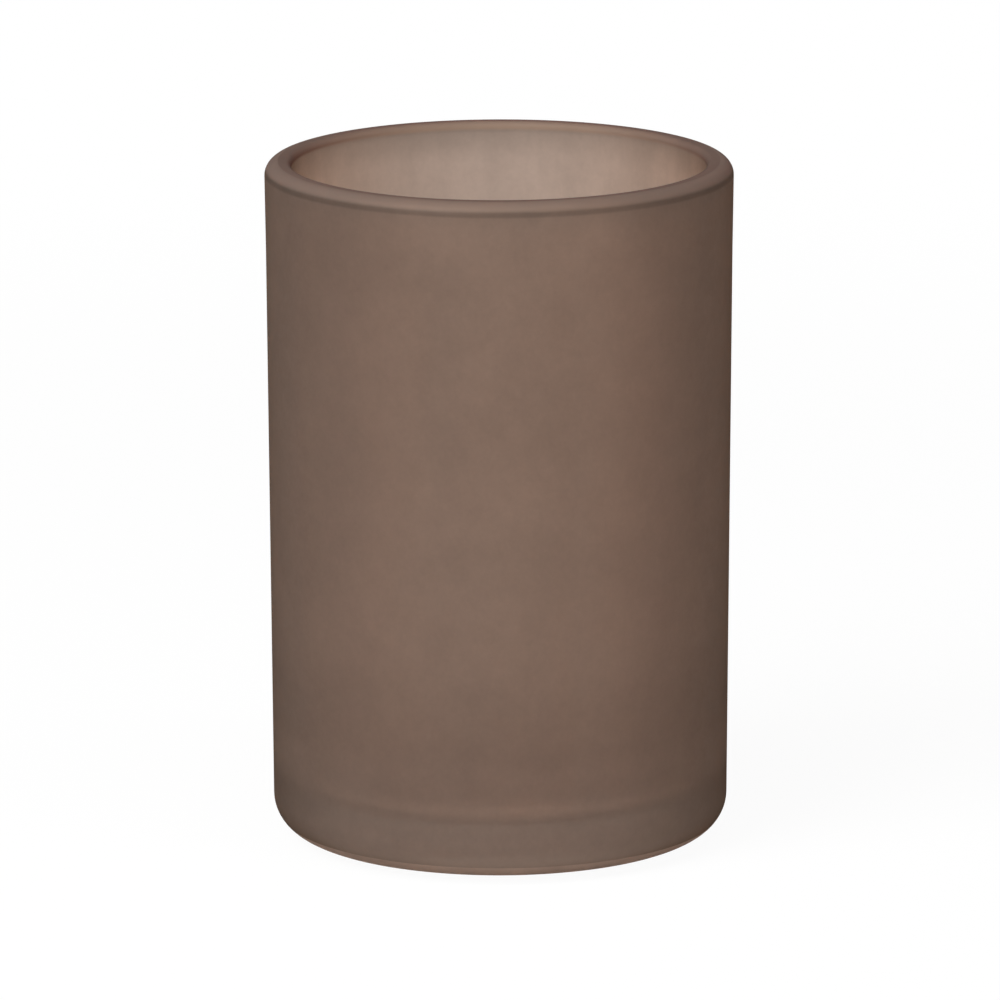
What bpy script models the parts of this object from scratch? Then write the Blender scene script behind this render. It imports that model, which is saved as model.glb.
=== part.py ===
# Toothbrush holder: a thick-walled satin glass tumbler that stands on four small clear pads.
# Units are metres, +Z is up, and the origin is on the counter, below the middle of the tumbler.
import math

import bpy

mm = 0.001

# Glass body. Its straight outer wall runs from rim_diameter, at the rim's plane, to base_diameter,
# at the bearing ring's plane. The inner wall follows it at rim_wall above and floor_wall below.
glass_height = 110 * mm
rim_diameter = 75 * mm
base_diameter = 73.4 * mm
rim_wall = 4.2 * mm
floor_wall = 4.8 * mm
floor_thickness = 8.8 * mm

# The radii of the glass body's corners, seen in section.
rim_outer_radius = 2.1 * mm
rim_inner_radius = 1.0 * mm
floor_corner_radius = 5 * mm
heel_radius = 6 * mm

# The shallow recess below leaves a flat bearing ring between itself and the heel.
bearing_ring_width = 3 * mm
recess_depth = 1.0 * mm
recess_slope = 1.2 * mm
recess_corner_radius = 0.4 * mm

# Pads, stuck in the recess with their glue film's thickness between them and the glass.
pad_count = 4
pad_diameter = 8 * mm
pad_stand = 0.6 * mm  # how far the pads lift the bearing ring off the counter
pad_film = 0.3 * mm
pad_margin = 1.5 * mm  # from a pad to the recess's slope
pad_top_radius = 0.15 * mm
pad_foot_radius = 0.4 * mm

# How finely the round shapes are divided.
arc_steps = 6
glass_steps = 80
pad_steps = 32
pad_arc_steps = 3
axis_merge = 0.01 * mm

# Heights and radii that follow from the sizes above.
bearing_z = pad_stand
rim_z = bearing_z + glass_height
floor_z = bearing_z + floor_thickness
recess_z = bearing_z + recess_depth
pad_top_z = recess_z - pad_film
rim_radius = rim_diameter / 2
base_radius = base_diameter / 2
recess_mouth_radius = base_radius - heel_radius - bearing_ring_width
recess_roof_radius = recess_mouth_radius - recess_slope
pad_radius = pad_diameter / 2
pad_circle_radius = recess_roof_radius - pad_margin - pad_radius


def outer_wall_radius(z):
    """The radius of the straight outer wall at height z."""
    return base_radius + (rim_radius - base_radius) * (z - bearing_z) / glass_height


def rounded_outline(corners, steps):
    """The points of an outline whose corners, given as (x, z, radius), are rounded by arcs."""
    points = []
    for index, (x, z, radius) in enumerate(corners):
        if radius == 0:
            points.append((x, z))
            continue
        before, after = corners[index - 1], corners[index + 1]
        way_in = math.atan2(z - before[1], x - before[0])
        way_out = math.atan2(after[1] - z, after[0] - x)
        turn = math.remainder(way_out - way_in, math.tau)
        reach = radius * math.tan(abs(turn) / 2)
        side = math.copysign(radius, turn)
        centre_x = x - reach * math.cos(way_in) - side * math.sin(way_in)
        centre_z = z - reach * math.sin(way_in) + side * math.cos(way_in)
        for step in range(steps + 1):
            heading = way_in + turn * step / steps
            points.append((centre_x + side * math.sin(heading), centre_z - side * math.cos(heading)))
    return points


def glass_profile():
    """Half of the tumbler's section: up the inside from the floor's middle, over the rim, down the
    outside and under the base to the middle of the recess."""
    inner_floor_radius = outer_wall_radius(floor_z) - floor_wall
    corners = [
        (0, floor_z, 0),
        (inner_floor_radius, floor_z, floor_corner_radius),
        (rim_radius - rim_wall, rim_z, rim_inner_radius),
        (rim_radius, rim_z, rim_outer_radius),
        (base_radius, bearing_z, heel_radius),
        (recess_mouth_radius, bearing_z, recess_corner_radius),
        (recess_roof_radius, recess_z, recess_corner_radius),
        (0, recess_z, 0),
    ]
    return rounded_outline(corners, arc_steps)


def pad_profile():
    """Half of a pad's section, from its glued top to the middle of its foot."""
    corners = [
        (0, pad_top_z, 0),
        (pad_radius, pad_top_z, pad_top_radius),
        (pad_radius, 0, pad_foot_radius),
        (0, 0, 0),
    ]
    return rounded_outline(corners, pad_arc_steps)


def principled(name, colour, roughness, transmission):
    """A Principled material with the finish of one piece."""
    material = bpy.data.materials.new(name)
    material.use_nodes = True
    shader = material.node_tree.nodes["Principled BSDF"]
    shader.inputs["Base Color"].default_value = (*colour, 1)
    shader.inputs["Roughness"].default_value = roughness
    shader.inputs["Metallic"].default_value = 0
    shader.inputs["Transmission Weight"].default_value = transmission
    material.diffuse_color = (*colour, 1)
    return material


def profile_mesh(name, points, material):
    """A mesh of the profile's edges alone, for a Screw modifier to turn about Z."""
    mesh = bpy.data.meshes.new(name)
    edges = [(index, index + 1) for index in range(len(points) - 1)]
    mesh.from_pydata([(x, 0, z) for x, z in points], edges, [])
    mesh.materials.append(material)
    return mesh


def turned_piece(name, mesh, steps, collection, parent):
    """An object that turns a profile mesh about its own Z axis into a closed solid."""
    piece = bpy.data.objects.new(name, mesh)
    collection.objects.link(piece)
    piece.parent = parent
    screw = piece.modifiers.new("turn", "SCREW")
    screw.axis = "Z"
    screw.angle = math.tau
    screw.steps = steps
    screw.render_steps = steps
    screw.use_merge_vertices = True
    screw.merge_threshold = axis_merge
    screw.use_smooth_shade = True
    return piece


def build():
    for old in list(bpy.data.objects):
        bpy.data.objects.remove(old, do_unlink=True)

    collection = bpy.data.collections.new("toothbrush_holder")
    bpy.context.scene.collection.children.link(collection)
    stand = bpy.data.objects.new("counter_point", None)
    collection.objects.link(stand)

    satin_glass = principled("satin_brown_glass", (0.205, 0.138, 0.107), 0.45, 0.3)
    glass_mesh = profile_mesh("glass_profile", glass_profile(), satin_glass)
    turned_piece("glass_tumbler", glass_mesh, glass_steps, collection, stand)

    clear_vinyl = principled("clear_soft_vinyl", (0.80, 0.80, 0.78), 0.30, 0.6)
    pad_mesh = profile_mesh("pad_profile", pad_profile(), clear_vinyl)
    for index in range(pad_count):
        # Half a step round from +X, so that none stands right at the front, back or sides.
        bearing = math.tau * (index + 0.5) / pad_count
        pad = turned_piece(f"base_pad_{index + 1}", pad_mesh, pad_steps, collection, stand)
        pad.location = (pad_circle_radius * math.cos(bearing), pad_circle_radius * math.sin(bearing), 0)


build()
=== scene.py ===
# Toothbrush holder, looks: a thick tumbler of tinted glass, satin-etched, on four clear stick-on pads.
# Metres, +Z up, the photograph's camera stands towards -Y. The two pieces made here take the place of
# the CAD solids, from the same sizes with finer curves.
import math

import bpy
from mathutils import Matrix, Vector


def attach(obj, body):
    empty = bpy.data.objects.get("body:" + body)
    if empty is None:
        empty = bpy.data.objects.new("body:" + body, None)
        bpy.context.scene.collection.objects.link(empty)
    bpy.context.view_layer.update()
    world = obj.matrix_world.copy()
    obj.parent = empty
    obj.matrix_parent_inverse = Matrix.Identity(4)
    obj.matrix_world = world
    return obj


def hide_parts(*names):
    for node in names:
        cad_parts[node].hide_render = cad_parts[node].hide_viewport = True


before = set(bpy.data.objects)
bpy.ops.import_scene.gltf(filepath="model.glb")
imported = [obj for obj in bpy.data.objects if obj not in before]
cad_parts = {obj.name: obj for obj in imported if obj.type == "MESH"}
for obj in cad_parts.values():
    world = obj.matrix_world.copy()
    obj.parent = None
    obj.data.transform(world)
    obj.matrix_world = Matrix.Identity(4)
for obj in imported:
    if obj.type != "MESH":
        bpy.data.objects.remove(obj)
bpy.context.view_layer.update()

mm = 0.001
print("frame loaded:", ", ".join(sorted(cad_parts)))


def linear(hexColour):
    # sRGB hex to the linear RGBA that a shader's socket takes
    shares = [int(hexColour[i:i + 2], 16) / 255 for i in (1, 3, 5)]
    return [s / 12.92 if s <= 0.04045 else ((s + 0.055) / 1.055) ** 2.4 for s in shares] + [1]


def addNode(tree, kind, inputs=None, **settings):
    # a node with its settings, whose inputs are values or the sockets that feed them
    node = tree.nodes.new(kind)
    for name, value in settings.items():
        setattr(node, name, value)
    for key, value in (inputs or {}).items():
        if isinstance(value, bpy.types.NodeSocket):
            tree.links.new(value, node.inputs[key])
        else:
            node.inputs[key].default_value = value
    return node


def newMaterial(name):
    material = bpy.data.materials.new(name)
    material.use_nodes = True
    material.node_tree.nodes.clear()
    return material, material.node_tree


# The glass body: pressed in a mould, so wall and floor run into each other in even radii, and
# fire-polished at the rim, where the softened wall flared by a hair. The straight outer wall leans out
# from baseRadius, at the bearing ring, towards rimRadius.
glassSizes = {
    "standOff": 0.6 * mm,
    "glassHeight": 110 * mm,
    "rimRadius": 37.5 * mm,
    "baseRadius": 36.7 * mm,
    "rimWall": 4.2 * mm,
    "floorWall": 4.8 * mm,
    "floorThickness": 8.8 * mm,
    "rimOuterRounding": 2.3 * mm,
    "rimInnerRounding": 1.0 * mm,
    "flare": 0.09 * mm,
    "flareDrop": 14 * mm,
    "floorRounding": 5.0 * mm,
    "heelRounding": 6.0 * mm,
    "bearingRing": 3.0 * mm,
    "recessDepth": 1.0 * mm,
    "recessSlope": 1.2 * mm,
    "recessRounding": 0.4 * mm,
    "arcSteps": 14,
    "turnSteps": 192,
    "runLength": 2.5 * mm,
}
wallMiddle = glassSizes["rimRadius"] - glassSizes["rimWall"] / 2

# Soda-lime glass, tinted taupe, pressed and then acid-etched all over. The etch scatters what comes
# through, so nothing behind the wall has an edge, and leaves a pale skin with hardly any gloss. It took
# unevenly all over, in soft clouds and, inside, in runs. Shade is painted in as well: darker inside the
# mouth, in a thin dark collar under the rim's crown, and in faint rings and at the sides near the base,
# with a lighter painted ring at the foot. The fire-polished crown itself kept a soft shine, with a
# highlight painted on it as a paler skin.
satinGlass = {
    "faceTint": "#E3D6CD",  # what one etched face leaves of the light through it
    "edgeTint": "#97775C",  # the same seen along the wall, through far more of the skin
    "insideEdgeTint": "#EACDBA",  # and inside, where the skin is thinner below the mouth
    "crownTint": "#DCC6B3",  # the two tints of the crown, face on and along it
    "crownEdgeTint": "#A56B60",
    "skin": "#96887E",  # the pale, matt skin that the etch leaves
    "edgeBlend": 0.606,  # the higher, the sooner a wall that turns away takes its edge tint
    "roughness": 0.515,
    "ior": 1.45,
    "skinShare": 0.229,
    "glossShare": 0.795,  # how much of the rest mirrors at its surface as well as lets through
    "crown": (109.05 * mm, 109.70 * mm),  # the heights where the shine and the crown's painted highlight start and are full
    "crownGloss": 0.961,
    "crownRoughness": 0.593,  # rougher than the wall, which spreads the shine wide and soft
    "crownSkinPaintedHighlight": 1.627,  # how many times paler the skin is there: a painted highlight on the crown
    # rings of painted shade, darker inside the mouth, in a collar under the crown and near the base, and
    # one
    # of painted light at the foot: which face, the heights where each starts, is full, starts to end and
    # ends, and what it leaves. The mouth's ring runs out over the rim.
    "paintedLightAndShadeRings": [
        # painted shade, darker down the inside of the mouth towards the rim
        ("inside", 103.5 * mm, 109.6 * mm, 120 * mm, 121 * mm, 0.767),
        # painted shade, a dark collar line just under the crown
        ("outside", 108.15 * mm, 108.65 * mm, 108.96 * mm, 109.46 * mm, 0.762),
        # painted shade, faint darker bands near the base
        ("outside", 17 * mm, 22 * mm, 27 * mm, 38 * mm, 0.937),
        ("outside", 8 * mm, 10 * mm, 11 * mm, 13 * mm, 0.955),
        # painted light, a lighter ring at the foot
        ("outside", 3 * mm, 5.2 * mm, 6.8 * mm, 8.6 * mm, 1.045),
    ],
    "floorFade": (10 * mm, 16 * mm),  # the heights where the painted shade at the base starts to end and ends
    "paintedFloorShade": 0.824,  # painted shade: how dark the base is painted where its wall turns away
    "floorSlant": (0.2, 0.9),  # how far the wall turns away where that shade starts and is full
    "cloudSize": 60 * mm,  # the largest clouds, each detail step halves them
    "cloudDetail": 7.0,
    "cloudFalloff": 0.95,
    "cloudDepth": 0.27,  # at most this share lighter or darker, and mostly far less
    "cloudSeed": 84.86,
    "runSize": 10 * mm,
    "runStretch": 0.12,  # heights count this much, which draws the pattern out in upright runs
    "runDetail": 4.0,
    "runFalloff": 0.6,
    "runDepth": 0.23,
    "runSeed": 83.01,
}
satinGlassMaterial, tree = newMaterial("satinEtchedTaupeGlass")
place = addNode(tree, "ShaderNodeTexCoord").outputs["Object"]
height = addNode(tree, "ShaderNodeSeparateXYZ", {0: place}).outputs["Z"]
flat = addNode(tree, "ShaderNodeVectorMath", {0: place, 1: (1, 1, 0)}, operation="MULTIPLY").outputs[0]
radius = addNode(tree, "ShaderNodeVectorMath", {0: flat}, operation="LENGTH").outputs["Value"]
outside = addNode(tree, "ShaderNodeMath", {0: radius, 1: wallMiddle}, operation="GREATER_THAN").outputs[0]
inside = addNode(tree, "ShaderNodeMath", {0: 1.0, 1: outside}, operation="SUBTRACT").outputs[0]
clouds = addNode(
    tree, "ShaderNodeTexNoise",
    {
        "Vector": place, "W": satinGlass["cloudSeed"], "Scale": 1 / satinGlass["cloudSize"],
        "Detail": satinGlass["cloudDetail"], "Roughness": satinGlass["cloudFalloff"],
    },
    noise_dimensions="4D",
).outputs[0]
stretched = addNode(
    tree, "ShaderNodeVectorMath", {0: place, 1: (1, 1, satinGlass["runStretch"])}, operation="MULTIPLY"
).outputs[0]
runs = addNode(
    tree, "ShaderNodeTexNoise",
    {
        "Vector": stretched, "W": satinGlass["runSeed"], "Scale": 1 / satinGlass["runSize"],
        "Detail": satinGlass["runDetail"], "Roughness": satinGlass["runFalloff"],
    },
    noise_dimensions="4D",
).outputs[0]
# clear: the etch's uneven clouds and runs, times the painted shade and light of the rings and the base
clear = addNode(
    tree, "ShaderNodeMapRange",
    {"Value": clouds, "To Min": 1 - satinGlass["cloudDepth"], "To Max": 1 + satinGlass["cloudDepth"]},
    clamp=False,
).outputs[0]
runDown = addNode(
    tree, "ShaderNodeMapRange",
    {"Value": runs, "To Min": 1 - satinGlass["runDepth"], "To Max": 1 + satinGlass["runDepth"]},
    clamp=False,
).outputs[0]
runDown = addNode(
    tree, "ShaderNodeMapRange", {"Value": inside, "To Min": 1.0, "To Max": runDown}
).outputs[0]
clear = addNode(tree, "ShaderNodeMath", {0: clear, 1: runDown}, operation="MULTIPLY").outputs[0]
sides = {"inside": inside, "outside": outside}
# each ring paints shade, or at the foot light, into the tint and the skin
for side, start, full, last, end, left in satinGlass["paintedLightAndShadeRings"]:
    ring = addNode(
        tree, "ShaderNodeMapRange",
        {"Value": height, "From Min": start, "From Max": full, "To Min": 1.0, "To Max": left},
        interpolation_type="SMOOTHSTEP",
    ).outputs[0]
    ring = addNode(
        tree, "ShaderNodeMapRange",
        {"Value": height, "From Min": last, "From Max": end, "To Min": ring, "To Max": 1.0},
        interpolation_type="SMOOTHSTEP",
    ).outputs[0]
    there = addNode(
        tree, "ShaderNodeMapRange", {"Value": sides[side], "To Min": 1.0, "To Max": ring}
    ).outputs[0]
    clear = addNode(tree, "ShaderNodeMath", {0: clear, 1: there}, operation="MULTIPLY").outputs[0]
edge = addNode(tree, "ShaderNodeLayerWeight", {"Blend": satinGlass["edgeBlend"]}).outputs["Facing"]
# painted shade: the base darker where its wall turns away, fading out above the floor's top
slantStart, slantFull = satinGlass["floorSlant"]
paintedBaseShade = addNode(
    tree, "ShaderNodeMapRange",
    {
        "Value": edge, "From Min": slantStart, "From Max": slantFull,
        "To Min": 1.0, "To Max": satinGlass["paintedFloorShade"],
    },
    interpolation_type="SMOOTHSTEP",
).outputs[0]
floorStart, floorEnd = satinGlass["floorFade"]
paintedBaseShade = addNode(
    tree, "ShaderNodeMapRange",
    {"Value": height, "From Min": floorStart, "From Max": floorEnd, "To Min": paintedBaseShade, "To Max": 1.0},
    interpolation_type="SMOOTHSTEP",
).outputs[0]
clear = addNode(tree, "ShaderNodeMath", {0: clear, 1: paintedBaseShade}, operation="MULTIPLY").outputs[0]
edgeTint = addNode(
    tree, "ShaderNodeMix",
    {0: outside, 6: linear(satinGlass["insideEdgeTint"]), 7: linear(satinGlass["edgeTint"])},
    data_type="RGBA",
).outputs[2]
tint = addNode(
    tree, "ShaderNodeMix", {0: edge, 6: linear(satinGlass["faceTint"]), 7: edgeTint}, data_type="RGBA"
).outputs[2]
crownStart, crownFull = satinGlass["crown"]
crown = addNode(
    tree, "ShaderNodeMapRange", {"Value": height, "From Min": crownStart, "From Max": crownFull},
    interpolation_type="SMOOTHSTEP",
).outputs[0]
tint = addNode(
    tree, "ShaderNodeMix", {0: 1.0, 6: tint, 7: clear}, data_type="RGBA", blend_type="MULTIPLY"
).outputs[2]
crownTint = addNode(
    tree, "ShaderNodeMix",
    {0: edge, 6: linear(satinGlass["crownTint"]), 7: linear(satinGlass["crownEdgeTint"])},
    data_type="RGBA",
).outputs[2]
tint = addNode(tree, "ShaderNodeMix", {0: crown, 6: tint, 7: crownTint}, data_type="RGBA").outputs[2]
# the skin is painted paler on the crown, a painted highlight, and takes the clouds and the painted shade
pale = addNode(
    tree, "ShaderNodeMapRange", {"Value": crown, "To Min": 1.0, "To Max": satinGlass["crownSkinPaintedHighlight"]}
).outputs[0]
pale = addNode(tree, "ShaderNodeMath", {0: clear, 1: pale}, operation="MULTIPLY").outputs[0]
skinColour = addNode(
    tree, "ShaderNodeMix",
    {0: 1.0, 6: linear(satinGlass["skin"]), 7: pale},
    data_type="RGBA", blend_type="MULTIPLY",
).outputs[2]
glossShare = addNode(
    tree, "ShaderNodeMapRange",
    {"Value": crown, "To Min": satinGlass["glossShare"], "To Max": satinGlass["crownGloss"]},
).outputs[0]
glossRoughness = addNode(
    tree, "ShaderNodeMapRange",
    {"Value": crown, "To Min": satinGlass["roughness"], "To Max": satinGlass["crownRoughness"]},
).outputs[0]
through = addNode(
    tree, "ShaderNodeBsdfRefraction",
    {"Color": tint, "Roughness": satinGlass["roughness"], "IOR": satinGlass["ior"]},
)
gloss = addNode(
    tree, "ShaderNodeBsdfGlass", {"Color": tint, "Roughness": glossRoughness, "IOR": satinGlass["ior"]}
)
skin = addNode(tree, "ShaderNodeBsdfDiffuse", {"Color": skinColour})
body = addNode(tree, "ShaderNodeMixShader", {0: glossShare, 1: through.outputs[0], 2: gloss.outputs[0]})
whole = addNode(
    tree, "ShaderNodeMixShader", {0: satinGlass["skinShare"], 1: body.outputs[0], 2: skin.outputs[0]}
)
addNode(tree, "ShaderNodeOutputMaterial", {"Surface": whole.outputs[0]})

# Clear soft vinyl, cast in sheets and punched: watery clear, with a faint haze and a soft gloss.
clearVinyl = {
    "clear": "#E8E8E4",
    "hazy": "#D8D8D2",
    "roughness": (0.22, 0.38),
    "ior": 1.53,
    "transmission": 0.6,
    "hazeSize": 2 * mm,
    "hazeDetail": 2.0,
}
clearVinylMaterial, tree = newMaterial("castClearVinyl")
place = addNode(tree, "ShaderNodeTexCoord").outputs["Object"]
haze = addNode(
    tree, "ShaderNodeTexNoise",
    {"Vector": place, "Scale": 1 / clearVinyl["hazeSize"], "Detail": clearVinyl["hazeDetail"]},
).outputs[0]
glossiest, dullest = clearVinyl["roughness"]
dull = addNode(
    tree, "ShaderNodeMapRange", {"Value": haze, "To Min": glossiest, "To Max": dullest}
).outputs[0]
cloudy = addNode(
    tree, "ShaderNodeMix",
    {0: haze, 6: linear(clearVinyl["clear"]), 7: linear(clearVinyl["hazy"])},
    data_type="RGBA",
).outputs[2]
vinyl = addNode(
    tree, "ShaderNodeBsdfPrincipled",
    {
        "Base Color": cloudy, "Roughness": dull, "IOR": clearVinyl["ior"],
        "Transmission Weight": clearVinyl["transmission"],
    },
)
addNode(tree, "ShaderNodeOutputMaterial", {"Surface": vinyl.outputs[0]})
print("materials made")


def sizedTree(name, sizes):
    # an empty tree with a named input for each size
    tree = bpy.data.node_groups.new(name, "GeometryNodeTree")
    tree.interface.new_socket(name="Geometry", in_out="OUTPUT", socket_type="NodeSocketGeometry")
    for size, value in sizes.items():
        kind = "NodeSocketInt" if isinstance(value, int) else "NodeSocketFloat"
        tree.interface.new_socket(name=size, in_out="INPUT", socket_type=kind)
    given = addNode(tree, "NodeGroupInput").outputs
    return tree, {size: given[size] for size in sizes}


def turnedSection(tree, size, corners):
    # turns a section about Z; its corners run from axis to axis as (radius, height, rounding)
    pathRadius = 100 * mm  # any circle will do: the section is moved back by the same amount
    poleMerge = 0.01 * mm
    index = addNode(tree, "GeometryNodeInputIndex").outputs[0]
    places = addNode(tree, "GeometryNodeIndexSwitch", {"Index": index}, data_type="VECTOR")
    roundings = addNode(tree, "GeometryNodeIndexSwitch", {"Index": index}, data_type="FLOAT")
    for pick in (places, roundings):
        while len(pick.index_switch_items) < len(corners):
            pick.index_switch_items.new()
    for slot, (across, up, rounding) in enumerate(corners, start=1):
        place = addNode(tree, "ShaderNodeCombineXYZ", {0: across, 1: up}).outputs[0]
        tree.links.new(place, places.inputs[slot])
        if isinstance(rounding, bpy.types.NodeSocket):
            tree.links.new(rounding, roundings.inputs[slot])
    line = addNode(tree, "GeometryNodeMeshLine", {"Count": len(corners)})
    placed = addNode(
        tree, "GeometryNodeSetPosition", {"Geometry": line.outputs[0], "Position": places.outputs[0]}
    )
    section = addNode(tree, "GeometryNodeMeshToCurve", {0: placed.outputs[0]})
    rounded = addNode(
        tree, "GeometryNodeFilletCurve",
        {0: section.outputs[0], "Count": size["arcSteps"], "Radius": roundings.outputs[0]},
        mode="POLY",
    )
    # long straight runs are cut, so that smooth shading stays true along them
    here = addNode(tree, "GeometryNodeInputPosition").outputs[0]
    nextIndex = addNode(tree, "ShaderNodeMath", {0: index, 1: 1}, operation="ADD").outputs[0]
    nextPlace = addNode(
        tree, "GeometryNodeFieldAtIndex", {"Value": here, "Index": nextIndex},
        data_type="FLOAT_VECTOR", domain="POINT",
    )
    run = addNode(tree, "ShaderNodeVectorMath", {0: here, 1: nextPlace.outputs[0]}, operation="DISTANCE")
    cuts = addNode(
        tree, "ShaderNodeMath", {0: run.outputs["Value"], 1: size["runLength"]}, operation="DIVIDE"
    )
    cut = addNode(tree, "GeometryNodeSubdivideCurve", {0: rounded.outputs[0], "Cuts": cuts.outputs[0]})
    moved = addNode(
        tree, "GeometryNodeTransform",
        {"Geometry": cut.outputs[0], "Translation": (-pathRadius, 0, 0), "Scale": (1, -1, 1)},
    )
    circle = addNode(
        tree, "GeometryNodeCurvePrimitiveCircle", {"Resolution": size["turnSteps"], "Radius": pathRadius}
    )
    level = addNode(tree, "GeometryNodeSetCurveNormal", {0: circle.outputs[0]}, mode="Z_UP")
    turned = addNode(
        tree, "GeometryNodeCurveToMesh", {"Curve": level.outputs[0], "Profile Curve": moved.outputs[0]}
    )
    return addNode(
        tree, "GeometryNodeMergeByDistance", {"Geometry": turned.outputs[0], "Distance": poleMerge}
    ).outputs[0]


def finishTree(tree, geometry, material):
    # smooth shading, real geometry for the export, and the material
    smooth = addNode(tree, "GeometryNodeSetShadeSmooth", {"Geometry": geometry})
    real = addNode(tree, "GeometryNodeRealizeInstances", {"Geometry": smooth.outputs[0]})
    dressed = addNode(tree, "GeometryNodeSetMaterial", {"Geometry": real.outputs[0], "Material": material})
    addNode(tree, "NodeGroupOutput", {0: dressed.outputs[0]})


def bakedPiece(name, tree, sizes):
    # runs the tree on an empty mesh and keeps its result as a plain mesh
    piece = bpy.data.objects.new(name, bpy.data.meshes.new(name))
    bpy.context.scene.collection.objects.link(piece)
    modifier = piece.modifiers.new("shape", "NODES")
    modifier.node_group = tree
    for item in tree.interface.items_tree:
        if item.in_out == "INPUT":
            modifier[item.identifier] = sizes[item.name]
    evaluated = piece.evaluated_get(bpy.context.evaluated_depsgraph_get())
    mesh = bpy.data.meshes.new_from_object(evaluated)
    piece.modifiers.remove(modifier)
    if mesh.materials[0] is None:  # instances bring an empty first slot with them
        mesh.materials.pop(index=0)
    piece.data = mesh
    mesh.name = name
    return piece


# The tumbler's tree works its other heights and radii out of its inputs, then turns the section: up the
# inside from the floor's middle, over the rim, down the outside and under the base.
tree, size = sizedTree("turnedTumbler", glassSizes)
for name, operation, first, second in [
    ("rimTop", "ADD", "standOff", "glassHeight"),
    ("flareFoot", "SUBTRACT", "rimTop", "flareDrop"),
    ("wallHeight", "SUBTRACT", "glassHeight", "flareDrop"),
    ("flaredRadius", "ADD", "rimRadius", "flare"),
    ("innerRimRadius", "SUBTRACT", "rimRadius", "rimWall"),
    ("floorTop", "ADD", "standOff", "floorThickness"),
    ("heelRadius", "SUBTRACT", "baseRadius", "heelRounding"),
    ("recessMouth", "SUBTRACT", "heelRadius", "bearingRing"),
    ("recessRoof", "SUBTRACT", "recessMouth", "recessSlope"),
    ("recessTop", "ADD", "standOff", "recessDepth"),
]:
    terms = {0: size[first], 1: size[second]}
    size[name] = addNode(tree, "ShaderNodeMath", terms, operation=operation).outputs[0]
for name, level in [("wallTopRadius", "wallHeight"), ("floorOuterRadius", "floorThickness")]:
    size[name] = addNode(
        tree, "ShaderNodeMapRange",
        {
            "Value": size[level], "From Max": size["glassHeight"],
            "To Min": size["baseRadius"], "To Max": size["rimRadius"],
        },
    ).outputs[0]
size["floorInnerRadius"] = addNode(
    tree, "ShaderNodeMath", {0: size["floorOuterRadius"], 1: size["floorWall"]}, operation="SUBTRACT"
).outputs[0]
glassBody = turnedSection(tree, size, [
    (0.0, size["floorTop"], 0.0),
    (size["floorInnerRadius"], size["floorTop"], size["floorRounding"]),
    (size["innerRimRadius"], size["rimTop"], size["rimInnerRounding"]),
    (size["flaredRadius"], size["rimTop"], size["rimOuterRounding"]),
    (size["wallTopRadius"], size["flareFoot"], 0.0),
    (size["baseRadius"], size["standOff"], size["heelRounding"]),
    (size["recessMouth"], size["standOff"], size["recessRounding"]),
    (size["recessRoof"], size["recessTop"], size["recessRounding"]),
    (0.0, size["recessTop"], 0.0),
])
finishTree(tree, glassBody, satinGlassMaterial)
tumbler = bakedPiece("tumbler_glass", tree, glassSizes)
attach(tumbler, "root")
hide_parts("glass_tumbler")
print("tumbler turned:", len(tumbler.data.polygons), "faces")

# The pads: discs punched from soft clear sheet and stuck in the recess, half a step round from +X.
padSizes = {
    "padCount": 4,
    "circleRadius": 21.0 * mm,
    "padRadius": 4.0 * mm,
    "padTop": 1.3 * mm,
    "topRounding": 0.15 * mm,
    "footRounding": 0.4 * mm,
    "arcSteps": 5,
    "turnSteps": 40,
    "runLength": 1.0 * mm,
}
tree, size = sizedTree("padsOnCircle", padSizes)
pad = turnedSection(tree, size, [
    (0.0, size["padTop"], 0.0),
    (size["padRadius"], size["padTop"], size["topRounding"]),
    (size["padRadius"], 0.0, size["footRounding"]),
    (0.0, 0.0, 0.0),
])
circle = addNode(
    tree, "GeometryNodeMeshCircle", {"Vertices": size["padCount"], "Radius": size["circleRadius"]}
)
halfStep = addNode(tree, "ShaderNodeMath", {0: math.pi, 1: size["padCount"]}, operation="DIVIDE")
swing = addNode(tree, "ShaderNodeCombineXYZ", {"Z": halfStep.outputs[0]})
swung = addNode(
    tree, "GeometryNodeTransform", {"Geometry": circle.outputs[0], "Rotation": swing.outputs[0]}
)
pads = addNode(tree, "GeometryNodeInstanceOnPoints", {"Points": swung.outputs[0], "Instance": pad})
finishTree(tree, pads.outputs[0], clearVinylMaterial)
basePads = bakedPiece("base_pads", tree, padSizes)
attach(basePads, "root")
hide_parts("base_pad_1", "base_pad_2", "base_pad_3", "base_pad_4")
print("pads placed:", len(basePads.data.polygons), "faces")

# The room, a bright-field set: white to the camera. What comes by gloss or through glass is white behind
# the object and dimmer round to the front, a little dimmer from the walls than from the board. The walls
# light matt surfaces hardly at all.
room = {"shown": 1.0, "inFront": 0.09, "wallShare": 0.8, "onObject": 0.015}

# White board under the glass. The camera sees mostly its own white, with a little of the light on it, so
# that the glass keeps a faint shadow. Gloss and glass see it white close by, and from fadeStart to fadeEnd
# it passes into the room's own levels. Only the paint itself sends light on to matt surfaces.
board = {
    "size": 8.0,
    "albedo": "#BCBCBC",
    "albedoShown": "#FAFAFA",  # the paint as the camera sees it
    "whiteShown": 0.95,  # how much of what the camera sees is the board's own white
    "inGlass": 1.0,
    "fadeStart": 0.25,
    "fadeEnd": 0.6,
}
boardMaterial, tree = newMaterial("paintedWhiteBoard")
place = addNode(tree, "ShaderNodeTexCoord").outputs["Object"]
reach = addNode(tree, "ShaderNodeVectorMath", {0: place}, operation="LENGTH").outputs["Value"]
fade = addNode(
    tree, "ShaderNodeMapRange",
    {"Value": reach, "From Min": board["fadeStart"], "From Max": board["fadeEnd"]},
    interpolation_type="SMOOTHSTEP",
).outputs[0]
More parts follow.
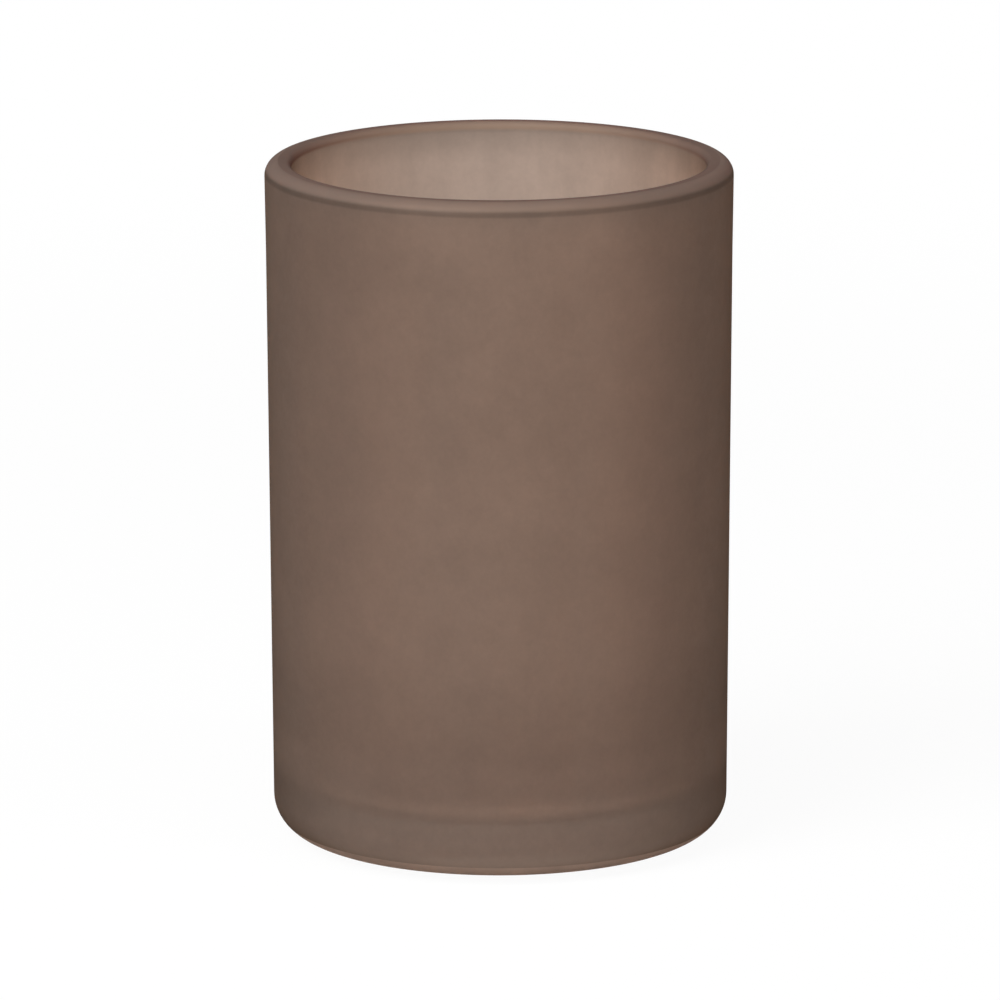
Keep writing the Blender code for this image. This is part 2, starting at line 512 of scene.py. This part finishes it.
flat = addNode(tree, "ShaderNodeVectorMath", {0: place, 1: (1, 1, 0)}, operation="MULTIPLY").outputs[0]
bearing = addNode(tree, "ShaderNodeVectorMath", {0: flat}, operation="NORMALIZE").outputs[0]
behind = addNode(tree, "ShaderNodeSeparateXYZ", {0: bearing}).outputs["Y"]
dimmest = addNode(
    tree, "ShaderNodeMapRange", {"Value": fade, "To Min": board["inGlass"], "To Max": room["inFront"]}
).outputs[0]
inGlass = addNode(
    tree, "ShaderNodeMapRange",
    {"Value": behind, "From Min": -1.0, "From Max": 1.0, "To Min": dimmest, "To Max": board["inGlass"]},
    interpolation_type="SMOOTHSTEP",
).outputs[0]
toCamera = addNode(
    tree, "ShaderNodeMapRange", {"Value": fade, "To Min": board["whiteShown"], "To Max": room["shown"]}
).outputs[0]
rays = addNode(tree, "ShaderNodeLightPath").outputs
white = addNode(
    tree, "ShaderNodeMapRange", {"Value": rays["Is Camera Ray"], "To Min": inGlass, "To Max": toCamera}
).outputs[0]
shown = addNode(
    tree, "ShaderNodeMapRange", {"Value": rays["Is Diffuse Ray"], "To Min": white, "To Max": 0.0}
).outputs[0]
coat = addNode(
    tree, "ShaderNodeMix",
    {0: rays["Is Camera Ray"], 6: linear(board["albedo"]), 7: linear(board["albedoShown"])},
    data_type="RGBA",
).outputs[2]
paint = addNode(tree, "ShaderNodeBsdfDiffuse", {"Color": coat})
glow = addNode(tree, "ShaderNodeEmission", {"Strength": 1.0})
surface = addNode(tree, "ShaderNodeMixShader", {0: shown, 1: paint.outputs[0], 2: glow.outputs[0]})
addNode(tree, "ShaderNodeOutputMaterial", {"Surface": surface.outputs[0]})
half = board["size"] / 2
boardCorners = [(-half, -half, 0), (half, -half, 0), (half, half, 0), (-half, half, 0)]
boardMesh = bpy.data.meshes.new("board")
boardMesh.from_pydata(boardCorners, [], [(0, 1, 2, 3)])
boardMesh.materials.append(boardMaterial)
floor = bpy.data.objects.new("board", boardMesh)
bpy.context.scene.collection.objects.link(floor)

world = bpy.data.worlds.new("whiteStudio")
bpy.context.scene.world = world
world.use_nodes = True
world.node_tree.nodes.clear()
tree = world.node_tree
direction = addNode(tree, "ShaderNodeTexCoord").outputs["Generated"]
flat = addNode(tree, "ShaderNodeVectorMath", {0: direction, 1: (1, 1, 0)}, operation="MULTIPLY").outputs[0]
bearing = addNode(tree, "ShaderNodeVectorMath", {0: flat}, operation="NORMALIZE").outputs[0]
behind = addNode(tree, "ShaderNodeSeparateXYZ", {0: bearing}).outputs["Y"]
walls = addNode(
    tree, "ShaderNodeMapRange",
    {
        "Value": behind, "From Min": -1.0, "From Max": 1.0,
        "To Min": room["inFront"] * room["wallShare"], "To Max": room["shown"] * room["wallShare"],
    },
    interpolation_type="SMOOTHSTEP",
).outputs[0]
rays = addNode(tree, "ShaderNodeLightPath").outputs
bent = addNode(
    tree, "ShaderNodeMath", {0: rays["Is Glossy Ray"], 1: rays["Is Transmission Ray"]}, operation="MAXIMUM"
).outputs[0]
beyond = addNode(
    tree, "ShaderNodeMapRange", {"Value": bent, "To Min": room["onObject"], "To Max": walls}
).outputs[0]
level = addNode(
    tree, "ShaderNodeMapRange", {"Value": rays["Is Camera Ray"], "To Min": beyond, "To Max": room["shown"]}
).outputs[0]
white = addNode(tree, "ShaderNodeBackground", {"Color": (1, 1, 1, 1), "Strength": level})
addNode(tree, "ShaderNodeOutputWorld", {"Surface": white.outputs[0]})

# Softboxes: where each stands, its width and depth in metres and its power in watts. All aim at the
# glass, and the overhead strip runs across, so that the rim's crown catches it along its front.
softboxes = {
    "keySoftbox": ((-0.854, -0.961, 1.218), 0.9, 0.9, 28.0),
    "overheadStrip": ((-0.111, -0.422, 1.35), 1.81, 0.21, 10.1),
    "fillSoftbox": ((1.2, -0.9, 0.5), 0.9, 0.9, 4.6),
}
aim = Vector((0, 0, 60 * mm))
for name, (stand, width, depth, power) in softboxes.items():
    lamp = bpy.data.lights.new(name, "AREA")
    lamp.shape = "RECTANGLE"
    lamp.size = width
    lamp.size_y = depth
    lamp.energy = power
    softbox = bpy.data.objects.new(name, lamp)
    away = (Vector(stand) - aim).normalized()
    across = (Vector((1, 0, 0)) - away * away.x).normalized()
    softbox.location = stand
    softbox.rotation_euler = Matrix((across, away.cross(across), away)).transposed().to_euler()
    bpy.context.scene.collection.objects.link(softbox)

# The camera: a long lens from the front and a little above, held a hair off level. Its sensor and lens
# are in the camera's own millimetres, its angles in degrees.
cameraPlace = {
    "lens": 330.49,
    "distance": 1480.71 * mm,
    "elevation": 12.791,
    "target": 55.6 * mm,
    "aim": (0.045 * mm, 0, 54.75 * mm),
    "roll": -0.11,
    "sensorWidth": 36,
    "clipStart": 100 * mm,
}
camera = bpy.data.objects.new("camera", bpy.data.cameras.new("camera"))
camera.data.sensor_width = cameraPlace["sensorWidth"]
camera.data.lens = cameraPlace["lens"]
camera.data.clip_start = cameraPlace["clipStart"]
elevation = math.radians(cameraPlace["elevation"])
back = cameraPlace["distance"] * math.cos(elevation)
up = cameraPlace["distance"] * math.sin(elevation)
camera.location = (0, -back, cameraPlace["target"] + up)
sight = Vector(cameraPlace["aim"]) - camera.location
roll = Matrix.Rotation(math.radians(cameraPlace["roll"]), 3, "Z")
camera.rotation_euler = (sight.to_track_quat("-Z", "Y").to_matrix() @ roll).to_euler()
bpy.context.scene.collection.objects.link(camera)
bpy.context.scene.camera = camera
bpy.context.scene.view_settings.view_transform = "Standard"
print("studio set")
